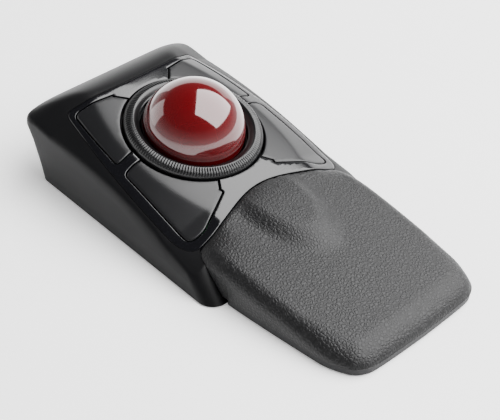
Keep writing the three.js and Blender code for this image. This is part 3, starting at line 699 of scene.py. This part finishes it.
key_objects = []
for row, key in KEYS.items():
    for hand, side in (("left", -1), ("right", 1)):
        cap = build_key(f"key_{row}_{hand}", side, *key)
        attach(cap, f"button_{row}_{hand}_body")
        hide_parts(f"button_{row}_{hand}")
        key_objects.append(cap)


def ribbed(r, z, angle):
    """Fine ribs across the ring's upper outer slope."""
    on = (np.clip((r - 32.6) / 0.5, 0, 1) * np.clip((37.0 - r) / 0.5, 0, 1)
          * np.clip((z - 1.6) / 0.6, 0, 1))
    depth = 0.34 * on * (0.5 + 0.5 * np.cos(RIBS * angle)) ** 1.5
    return r - depth * 0.35, z - depth


def ring_profile():
    """Section of the scroll ring as (r, h): the outer wall, the ribbed slope and the dish to the ball."""
    slope = [(37.2, 0.2), (37.1, 1.1), (36.5, 2.5), (35.6, 3.45), (34.5, 4.05), (33.4, 4.38), (32.5, 4.42)]
    dish = [(32.3, 4.38), (31.9, 4.22), (31.2, 3.75), (30.4, 3.0), (29.7, 2.3), (29.3, 2.05),
            (28.95, 1.85), (28.8, 1.5), (28.85, 1.1)]
    return np.vstack([[(31.2, -5), (37.2, -5)], spline(slope, 0.35), spline(dish, 0.35), [(31.2, 0.2)]])


ring = place("scroll_ring_grip", lathe(ring_profile(), RIBS * 8, wave=ribbed), deck_to_part, 45)
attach(ring, "ring_body")
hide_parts("scroll_ring")

turn = np.radians(np.linspace(-90, 90, 97))
ball_profile = np.stack([BALL_R * np.cos(turn), BALL_R * np.sin(turn)], 1)
ball_profile[[0, -1], 0] = 0
ball = place("track_ball", lathe(ball_profile, 192), deck_to_part, 60)
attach(ball, "ball_body")
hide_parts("ball")

# ---------- feet, screws and the plate of the wrist rest ----------
dressed = [(casing, "matteBlack"), (pad, "leather"), (deck, "glossBlack"), (ring, "ringBlack"),
           (ball, "ballRed"), *((key, "satinBlack") for key in key_objects)]


def stands_for(piece, node, body, slot):
    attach(piece, body)
    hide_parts(node)
    dressed.append((piece, slot))


def spot(node):
    """Middle of a CAD node in plan, and its lowest and highest point, in millimetres."""
    low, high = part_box(node)
    return (low.x + high.x) / 2 / MM, (low.y + high.y) / 2 / MM, low.z / MM, high.z / MM


def foot_pad(node, radius):
    """A round rubber foot with a raised rim round its sole."""
    x, y, low, high = spot(node)
    profile = [(0, low + 0.12), (radius - 2.6, low + 0.12), (radius - 2.2, low), (radius - 1.0, low),
               (radius - 0.4, low + 0.15), (radius - 0.1, low + 0.45), (radius, low + 0.8),
               (radius, high), (0, high)]
    return place("pad_of_" + node, lathe(profile, 72, (x, y)), as_is)


def cross_screw(name, node):
    """A screw with a pan head and a cross recess, head down."""
    x, y, low, high = spot(node)
    profile = [(0, low + 0.02), (1.8, low + 0.02), (2.5, low + 0.12), (2.8, low + 0.35), (2.9, low + 0.6),
               (2.9, low + 1), (1.3, low + 1), (1.3, high - 1), (0, high)]
    screw = place(name, lathe(profile, 64, (x, y)), as_is)
    cross = [place("cross", slab(x - w, x + w, y - d, y + d, low - 1, low + 0.75), as_is)
             for w, d in ((1.7, 0.35), (0.35, 1.7))]
    return combine(screw, cross, "DIFFERENCE")


def rest_plate():
    """The rest's hard plate, with the tongues of its two hooks and a well for each foot."""
    back = [(53.4, -80.6), (0, -80.6)]
    plan = grown(whole(np.vstack([REST_SIDE[REST_SIDE[:, 1] < -82], back])), -0.3)
    plate = place("wrist_rest_plate", prism(plan, SHELL_BOTTOM, PLATE_TOP), device_to_part)
    tongues = [place("tongue", slab(x - 6, x + 6, -84, -72, 1.2, 2.6), device_to_part) for x in HOOKS]
    combine(plate, tongues, "UNION")
    well = [(0, -1), (5.4, -1), (5.4, 2.1), (0, 2.1)]
    wells = [place("well", lathe(well, 64, spot(f"rest_foot_{i}")[:2]), as_is) for i in (1, 2, 3, 4)]
    return combine(plate, wells, "DIFFERENCE")


for prefix, radius, body in (("foot", 6, "device"), ("rest_foot", 5, "wrist_rest_body")):
    for i in (1, 2, 3, 4):
        stands_for(foot_pad(f"{prefix}_{i}", radius), f"{prefix}_{i}", body, "rubber")
for i in (1, 2, 3, 4):
    stands_for(cross_screw(f"screw_{i}", f"case_screw_{i}"), f"case_screw_{i}", "device", "steel")
stands_for(rest_plate(), "wrist_rest_base", "wrist_rest_body", "innerPlastic")


# ---------- materials ----------
def blank(name):
    """A new material, its node tree and its shader."""
    mat = bpy.data.materials.new(name)
    mat.use_nodes = True
    return mat, mat.node_tree, mat.node_tree.nodes["Principled BSDF"]


def add_node(tree, kind, values=None, links=None, **settings):
    """A shader node with its settings, the values of its inputs, and links into them."""
    made = tree.nodes.new("ShaderNode" + kind)
    for key, value in settings.items():
        setattr(made, key, value)
    for socket, value in (values or {}).items():
        made.inputs[socket].default_value = value
    for socket, source in (links or {}).items():
        tree.links.new(source, made.inputs[socket])
    return made


def material(name, colour, rough, grain=0.0004, bump=0.00002, tone=0.15, spread=0.05, metal=0.0, coat=0.0,
             specular=0.5):
    """Moulded or machined finish: a fine grain in the bump and roughness, and slow changes of tone.
    Grain and bump are in metres; tone and spread are how far the colour and the roughness stray."""
    mat, tree, shader = blank(name)
    where = {"Vector": add_node(tree, "TexCoord").outputs["Object"]}
    fine = add_node(tree, "TexNoise", {"Scale": 1 / grain, "Detail": 3}, where).outputs["Fac"]
    slow = add_node(tree, "TexNoise", {"Scale": 45, "Detail": 4}, where).outputs["Fac"]
    tint = add_node(tree, "MapRange", {"To Min": 1 - tone, "To Max": 1 + tone}, {"Value": slow})
    shade = add_node(tree, "VectorMath", {0: colour}, {"Scale": tint.outputs["Result"]}, operation="SCALE")
    wear = add_node(tree, "MapRange", {"To Min": max(0.0, rough - spread), "To Max": rough + spread},
                    {"Value": fine})
    relief = add_node(tree, "Bump", {"Distance": bump}, {"Height": fine})
    tree.links.new(shade.outputs["Vector"], shader.inputs["Base Color"])
    tree.links.new(wear.outputs["Result"], shader.inputs["Roughness"])
    tree.links.new(relief.outputs["Normal"], shader.inputs["Normal"])
    shader.inputs["Metallic"].default_value = metal
    shader.inputs["Coat Weight"].default_value = coat
    shader.inputs["Specular IOR Level"].default_value = specular
    return mat


def leather():
    """Leatherette: a grain of irregular cells with darker, duller furrows between them."""
    mat, tree, shader = blank("grained_leatherette")
    where = add_node(tree, "TexCoord").outputs["Object"]
    bend = add_node(tree, "TexNoise", {"Scale": 500}, {"Vector": where})
    push = add_node(tree, "VectorMath", {"Scale": 0.0012}, {0: bend.outputs["Color"]}, operation="SCALE")
    bent = add_node(tree, "VectorMath", links={0: where, 1: push.outputs["Vector"]})
    cells = add_node(tree, "TexVoronoi", {"Scale": 560}, {"Vector": bent.outputs["Vector"]},
                     feature="DISTANCE_TO_EDGE")
    crest = add_node(tree, "MapRange", {"From Max": 0.32}, {"Value": cells.outputs["Distance"]},
                     interpolation_type="SMOOTHSTEP").outputs["Result"]
    tint = add_node(tree, "ValToRGB", links={"Fac": crest})
    tint.color_ramp.elements[0].color = (0.004, 0.004, 0.0043, 1)
    tint.color_ramp.elements[1].color = (0.0072, 0.0072, 0.0078, 1)
    wear = add_node(tree, "MapRange", {"To Min": 0.5, "To Max": 0.42}, {"Value": crest})
    relief = add_node(tree, "Bump", {"Distance": 0.00016, "Strength": 0.75}, {"Height": crest})
    tree.links.new(tint.outputs["Color"], shader.inputs["Base Color"])
    tree.links.new(wear.outputs["Result"], shader.inputs["Roughness"])
    tree.links.new(relief.outputs["Normal"], shader.inputs["Normal"])
    shader.inputs["Specular IOR Level"].default_value = 0.3
    return mat


FINISHES = {
    "matteBlack": material("matte_shell", (0.004, 0.004, 0.0045), 0.42, grain=0.0005, bump=0.00001,
                           specular=0.13),
    "glossBlack": material("gloss_deck", (0.004, 0.004, 0.005), 0.13, bump=0, spread=0.02),
    "satinBlack": material("satin_keys", (0.007, 0.007, 0.0078), 0.3, grain=0.0003, bump=0.000005,
                           specular=0.4),
    "ringBlack": material("ring_rubber", (0.004, 0.004, 0.0045), 0.3, grain=0.0004, bump=0.000008),
    "ballRed": material("crimson_ball", (0.08, 0.002, 0.0035), 0.1, bump=0, tone=0.12, spread=0.02, coat=1.0),
    "leather": leather(),
    "rubber": material("foot_rubber", (0.01, 0.01, 0.01), 0.75, grain=0.0007, bump=0.00003),
    "innerPlastic": material("inner_plastic", (0.009, 0.009, 0.01), 0.5, grain=0.0006, specular=0.25),
    "steel": material("steel", (0.45, 0.46, 0.47), 0.28, grain=0.0003, bump=0.000005, metal=1.0),
    "ceramic": material("ceramic_bead", (0.75, 0.72, 0.66), 0.2, bump=0.000002, tone=0.05),
    "boardGreen": material("circuit_board", (0.01, 0.09, 0.035), 0.4, grain=0.0012, bump=0.00003, tone=0.3),
    "chipBlack": material("chip_black", (0.012, 0.012, 0.014), 0.42, grain=0.0004),
    "lensClear": material("lens", (0.6, 0.66, 0.7), 0.06, bump=0.000001, tone=0.05, spread=0.03),
    "cellSleeve": material("cell_sleeve", (0.02, 0.12, 0.05), 0.3, grain=0.002, bump=0.00001, tone=0.2),
}


def dress(obj, slot):
    obj.data.materials.clear()
    obj.data.materials.append(FINISHES[slot])


node_slots = {row["node"]: row["material_slot"] for row in frame["record"]["subparts"]}
for name, node in nodes.items():
    dress(node, node_slots[name])
for piece, slot in dressed:
    dress(piece, slot)

# ---------- floor, light and camera ----------
FLOOR_R, FLOOR_Z, FLOOR_SIDES = 5000, -0.1, 96


def lay_floor():
    """A wide pale table just under the feet."""
    rim = arc(0, 0, FLOOR_R, 0, 360, FLOOR_SIDES)[:-1]
    points = np.column_stack([rim, np.full(FLOOR_SIDES, FLOOR_Z)])
    floor = place("floor", (points, [tuple(range(FLOOR_SIDES))]), as_is)
    paper = material("white_table", (0.95, 0.95, 0.95), 0.7, tone=0.005, bump=0)
    shader = paper.node_tree.nodes["Principled BSDF"]
    shader.inputs["Emission Color"].default_value = (1, 1, 1, 1)
    shader.inputs["Emission Strength"].default_value = 0.4
    floor.data.materials.append(paper)


def light_world():
    """A grey room that darkens from the horizon up, so gloss shows a horizon."""
    world = bpy.data.worlds.new("world")
    bpy.context.scene.world = world
    world.use_nodes = True
    tree = world.node_tree
    where = add_node(tree, "TexCoord").outputs["Generated"]
    split = add_node(tree, "SeparateXYZ", links={"Vector": where})
    height = add_node(tree, "MapRange", {"From Min": -1}, {"Value": split.outputs["Z"]})
    sky = add_node(tree, "ValToRGB", links={"Fac": height.outputs["Result"]})
    tree.links.new(sky.outputs["Color"], tree.nodes["Background"].inputs["Color"])
    tree.nodes["Background"].inputs["Strength"].default_value = 1.8
    stops = sky.color_ramp.elements
    stops[0].position, stops[0].color = 0.0, (0.1, 0.1, 0.1, 1)
    stops[1].position, stops[1].color = 1.0, (0.02, 0.02, 0.02, 1)
    for position, level in ((0.5, 0.6), (0.54, 0.5), (0.62, 0.25), (0.75, 0.05)):
        stops.new(position).color = (level, level, level, 1)


def softbox(name, toward, away, width, height, across, power):
    """A rectangular light on a direction from the ball, facing it, with its width along across."""
    back = Vector(toward).normalized()
    side = (Vector(across) - back * Vector(across).dot(back)).normalized()
    lamp = bpy.data.lights.new(name, "AREA")
    lamp.shape = "RECTANGLE"
    lamp.size, lamp.size_y, lamp.energy = width, height, power
    obj = bpy.data.objects.new(name, lamp)
    bpy.context.scene.collection.objects.link(obj)
    pose = Matrix((side, back.cross(side), back)).transposed().to_4x4()
    pose.translation = BALL_CENTRE + back * away
    obj.matrix_world = pose


AZIMUTH, ELEVATION, ROLL = math.radians(-48.30), math.radians(38.20), math.radians(4.19)
LENS = 102.15
CAMERA_RIGHT, CAMERA_UP, CAMERA_BACK = 0.032587, -0.040213, 0.74226    # metres from the ball's centre


def set_camera():
    """The photograph's camera, placed along its own axes from the ball's centre."""
    right = Vector((math.cos(AZIMUTH), math.sin(AZIMUTH), 0))
    back = Vector((math.sin(AZIMUTH) * math.cos(ELEVATION), -math.cos(AZIMUTH) * math.cos(ELEVATION),
                   math.sin(ELEVATION)))
    up = back.cross(right)
    camera = bpy.data.objects.new("camera", bpy.data.cameras.new("camera"))
    bpy.context.scene.collection.objects.link(camera)
    camera.data.lens = LENS
    camera.data.clip_end = 10
    pose = Matrix((right * math.cos(ROLL) + up * math.sin(ROLL),
                   up * math.cos(ROLL) - right * math.sin(ROLL), back)).transposed().to_4x4()
    pose.translation = BALL_CENTRE + right * CAMERA_RIGHT + up * CAMERA_UP + back * CAMERA_BACK
    camera.matrix_world = pose
    bpy.context.scene.camera = camera


lay_floor()
light_world()
softbox("main_softbox", (0.483, -0.332, 0.81), 1.6, 2.0, 2.4, (0.61, -0.78, -0.68), 150)
softbox("left_wall", (-0.42, 0.88, 0.16), 1.3, 0.8, 0.9, (1, 0.4, 0), 5)
softbox("back_wall", (0.74, 0.64, 0.16), 1.5, 2.2, 0.9, (0.64, -0.74, 0), 10)
set_camera()
